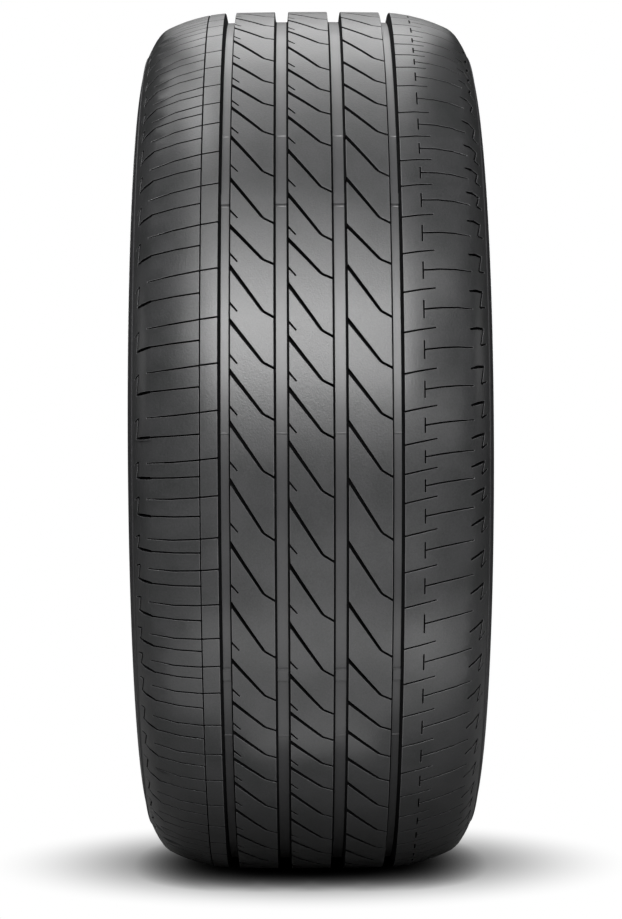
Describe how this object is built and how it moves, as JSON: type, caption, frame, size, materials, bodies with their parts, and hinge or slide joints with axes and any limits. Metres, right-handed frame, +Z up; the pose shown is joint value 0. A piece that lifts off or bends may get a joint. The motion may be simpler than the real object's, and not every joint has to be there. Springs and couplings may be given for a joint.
{
  "type": "car tyre",
  "caption": "Low-profile radial car tyre, standing on its tread, with grooved ribs, siped shoulders, rim guards and open beads.",
  "frame": {"origin": "centre of the wheel, on the axle, midway between the two beads", "axes": "+Y along the axle that the wheel spins about, +Z up from the ground that the tyre stands on, +X forwards"},
  "size_m": [0.6532, 0.2484, 0.6517],
  "materials": {
    "tread_rubber": "satin"
  },
  "bodies": {
    "root": {"tyre": "tread_rubber"}
  },
  "joints": []
}
